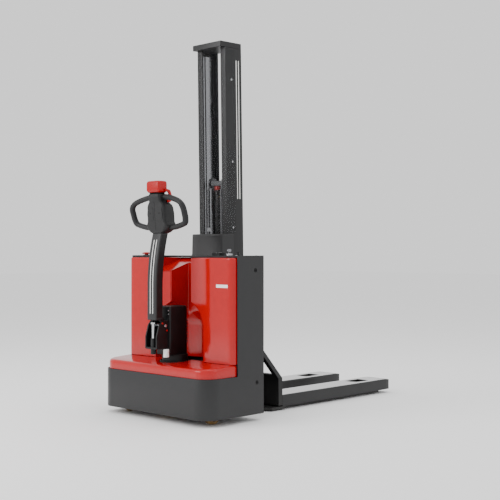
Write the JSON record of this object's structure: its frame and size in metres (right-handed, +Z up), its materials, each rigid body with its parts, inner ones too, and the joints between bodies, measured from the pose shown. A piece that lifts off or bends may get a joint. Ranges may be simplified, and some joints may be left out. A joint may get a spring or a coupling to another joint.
{
  "type": "walkie stacker",
  "caption": "Electric walk-behind pallet stacker: red-covered power unit, tiller with loop handle, leaning twin-channel mast with clear guard, chain-lifted forks over straddle legs.",
  "frame": {"origin": "centre of the footprint's bounding box on the floor", "axes": "+Z up, +Y from the operator towards the fork tips, +X to the right seen by the operator facing the mast"},
  "size_m": [0.853, 1.724, 2.0501],
  "materials": {
    "grey_paint": "satin dark grey powder coat",
    "dark_paint": "satin charcoal powder coat",
    "red_cover": "glossy red moulded cover",
    "black_plastic": "fine-grained black moulding",
    "red_plastic": "red moulding",
    "bright_steel": "hard chrome and bright zinc",
    "dark_steel": "oiled steel",
    "gland_red": "dark red anodised gland",
    "clear_guard": "clear polycarbonate sheet",
    "rubber": "hose rubber",
    "polyurethane": "amber polyurethane tread",
    "battery_case": "ribbed battery case",
    "cast_grey": "cast housing"
  },
  "bodies": {
    "chassis": {"base_frame": "dark_paint", "skirt_cover": "grey_paint", "side_panel_left": "grey_paint", "side_panel_right": "grey_paint", "rear_panel": "grey_paint", "deck_cover": "red_cover", "upright_cover": "red_cover", "top_cover": "grey_paint", "mast_boot": "dark_paint", "battery_left": "battery_case", "battery_right": "battery_case", "pump_unit": "black_plastic", "oil_tank": "grey_paint", "motor_controller": "cast_grey", "battery_charger": "cast_grey", "battery_gauge": "black_plastic", "mast_channel_left": "grey_paint", "mast_channel_right": "grey_paint", "mast_cap": "grey_paint", "mast_guard": "clear_guard", "lift_cylinder": "black_plastic", "cylinder_gland": "gland_red", "lift_hose": "rubber", "chain_run_left": "dark_steel", "chain_run_right": "dark_steel", "straddle_legs": "dark_paint"},
    "key": {"key_switch": "bright_steel"},
    "stop_button": {"emergency_stop": "red_plastic"},
    "rod": {"lift_rod": "bright_steel", "crosshead": "cast_grey", "chain_loop_left": "dark_steel", "chain_loop_right": "dark_steel"},
    "sheave_left_body": {"sheave_left": "dark_steel"},
    "sheave_right_body": {"sheave_right": "dark_steel"},
    "lift_carriage": {"carriage": "dark_paint", "fork_frame": "dark_paint", "fork_left": "grey_paint", "fork_right": "grey_paint"},
    "roller_left_body": {"carriage_roller_left": "bright_steel"},
    "roller_right_body": {"carriage_roller_right": "bright_steel"},
    "steering": {"drive_gearbox": "cast_grey", "drive_cover": "black_plastic", "tiller_bracket": "black_plastic", "tiller_pivot_pin": "bright_steel", "gas_spring_body": "black_plastic"},
    "drive_wheel_body": {"drive_wheel": "polyurethane"},
    "spring_rod": {"gas_spring_rod": "bright_steel"},
    "tiller": {"tiller_arm": "grey_paint", "handle_shell": "black_plastic", "handle_loop_left": "black_plastic", "handle_loop_right": "black_plastic"},
    "belly": {"belly_button": "red_plastic"},
    "paddles": {"thumb_paddles": "red_plastic"},
    "rocker": {"lift_rocker": "black_plastic"},
    "caster_left": {"caster_yoke_left": "dark_steel"},
    "caster_right": {"caster_yoke_right": "dark_steel"},
    "caster_wheel_left_body": {"caster_wheel_left": "polyurethane"},
    "caster_wheel_right_body": {"caster_wheel_right": "polyurethane"},
    "load_wheel_left_body": {"load_wheel_left": "polyurethane"},
    "load_wheel_right_body": {"load_wheel_right": "polyurethane"}
  },
  "joints": [
    {"name": "key_turn", "type": "hinge", "parent": "chassis", "child": "key", "pos_m": [0.318, -0.592, 0.87], "axis": [0, 0, 1], "range_deg": [-60, 0]},
    {"name": "stop_press", "type": "slide", "parent": "chassis", "child": "stop_button", "axis": [0, 0, 1], "range_m": [-0.004, 0]},
    {"name": "carriage_lift", "type": "slide", "parent": "chassis", "child": "lift_carriage", "axis": [0, -0.0167, 0.9999], "range_m": [0, 1.42]},
    {"name": "rod_lift", "type": "slide", "parent": "chassis", "child": "rod", "axis": [0, -0.0167, 0.9999], "range_m": [0, 0.71]},
    {"name": "sheave_left_spin", "type": "hinge", "parent": "rod", "child": "sheave_left_body", "pos_m": [-0.051, -0.35869, 1.27126], "axis": [1, 0, 0], "range_deg": [-1480, 0]},
    {"name": "sheave_right_spin", "type": "hinge", "parent": "rod", "child": "sheave_right_body", "pos_m": [0.051, -0.35869, 1.27126], "axis": [1, 0, 0], "range_deg": [-1480, 0]},
    {"name": "roller_left_spin", "type": "hinge", "parent": "lift_carriage", "child": "roller_left_body", "pos_m": [-0.087, -0.33112, 0.4016], "axis": [1, 0, 0], "range_deg": [-1600, 0]},
    {"name": "roller_right_spin", "type": "hinge", "parent": "lift_carriage", "child": "roller_right_body", "pos_m": [0.087, -0.33112, 0.4016], "axis": [1, 0, 0], "range_deg": [-1600, 0]},
    {"name": "steer", "type": "hinge", "parent": "chassis", "child": "steering", "pos_m": [0, -0.69, 0.3], "axis": [0, 0, 1], "range_deg": [-80, 80]},
    {"name": "drive_wheel_spin", "type": "hinge", "parent": "steering", "child": "drive_wheel_body", "pos_m": [0, -0.69, 0.105], "axis": [1, 0, 0], "continuous": true},
    {"name": "tiller_tilt", "type": "hinge", "parent": "steering", "child": "tiller", "pos_m": [0, -0.8, 0.495], "axis": [1, 0, 0], "range_deg": [0, 75], "stiffness_Nm_per_rad": 40, "springref_deg": -11.46},
    {"name": "gas_spring_slide", "type": "slide", "parent": "steering", "child": "spring_rod", "axis": [0, 0, 1], "range_m": [-0.0705, 0]},
    {"name": "belly_press", "type": "slide", "parent": "tiller", "child": "belly", "axis": [0, 0, 1], "range_m": [-0.008, 0], "stiffness_N_per_m": 4000, "springref_m": 0.002},
    {"name": "paddle_turn", "type": "hinge", "parent": "tiller", "child": "paddles", "pos_m": [0, -0.792, 1.154], "axis": [1, 0, 0], "range_deg": [-12, 12], "stiffness_Nm_per_rad": 3},
    {"name": "rocker_tip", "type": "hinge", "parent": "tiller", "child": "rocker", "pos_m": [0, -0.745, 1.076], "axis": [1, 0, 0], "range_deg": [-6, 6], "stiffness_Nm_per_rad": 2},
    {"name": "caster_swivel_left", "type": "hinge", "parent": "chassis", "child": "caster_left", "pos_m": [-0.33, -0.757, 0.15], "axis": [0, 0, 1], "continuous": true},
    {"name": "caster_spin_left", "type": "hinge", "parent": "caster_left", "child": "caster_wheel_left_body", "pos_m": [-0.33, -0.729, 0.05], "axis": [1, 0, 0], "continuous": true},
    {"name": "load_spin_left", "type": "hinge", "parent": "chassis", "child": "load_wheel_left_body", "pos_m": [-0.2, 0.639, 0.04], "axis": [1, 0, 0], "continuous": true},
    {"name": "caster_swivel_right", "type": "hinge", "parent": "chassis", "child": "caster_right", "pos_m": [0.33, -0.757, 0.15], "axis": [0, 0, 1], "continuous": true},
    {"name": "caster_spin_right", "type": "hinge", "parent": "caster_right", "child": "caster_wheel_right_body", "pos_m": [0.33, -0.729, 0.05], "axis": [1, 0, 0], "continuous": true},
    {"name": "load_spin_right", "type": "hinge", "parent": "chassis", "child": "load_wheel_right_body", "pos_m": [0.2, 0.639, 0.04], "axis": [1, 0, 0], "continuous": true}
  ],
  "couplings": [
    {"joint": "rod_lift", "follows": "carriage_lift", "ratio": 0.5},
    {"joint": "sheave_left_spin", "follows": "carriage_lift", "rad_per_m": -16.393},
    {"joint": "sheave_right_spin", "follows": "carriage_lift", "rad_per_m": -16.393},
    {"joint": "roller_left_spin", "follows": "carriage_lift", "rad_per_m": -19.231},
    {"joint": "roller_right_spin", "follows": "carriage_lift", "rad_per_m": -19.231},
    {"joint": "gas_spring_slide", "follows": "tiller_tilt", "m_per_rad": -0.0535}
  ]
}
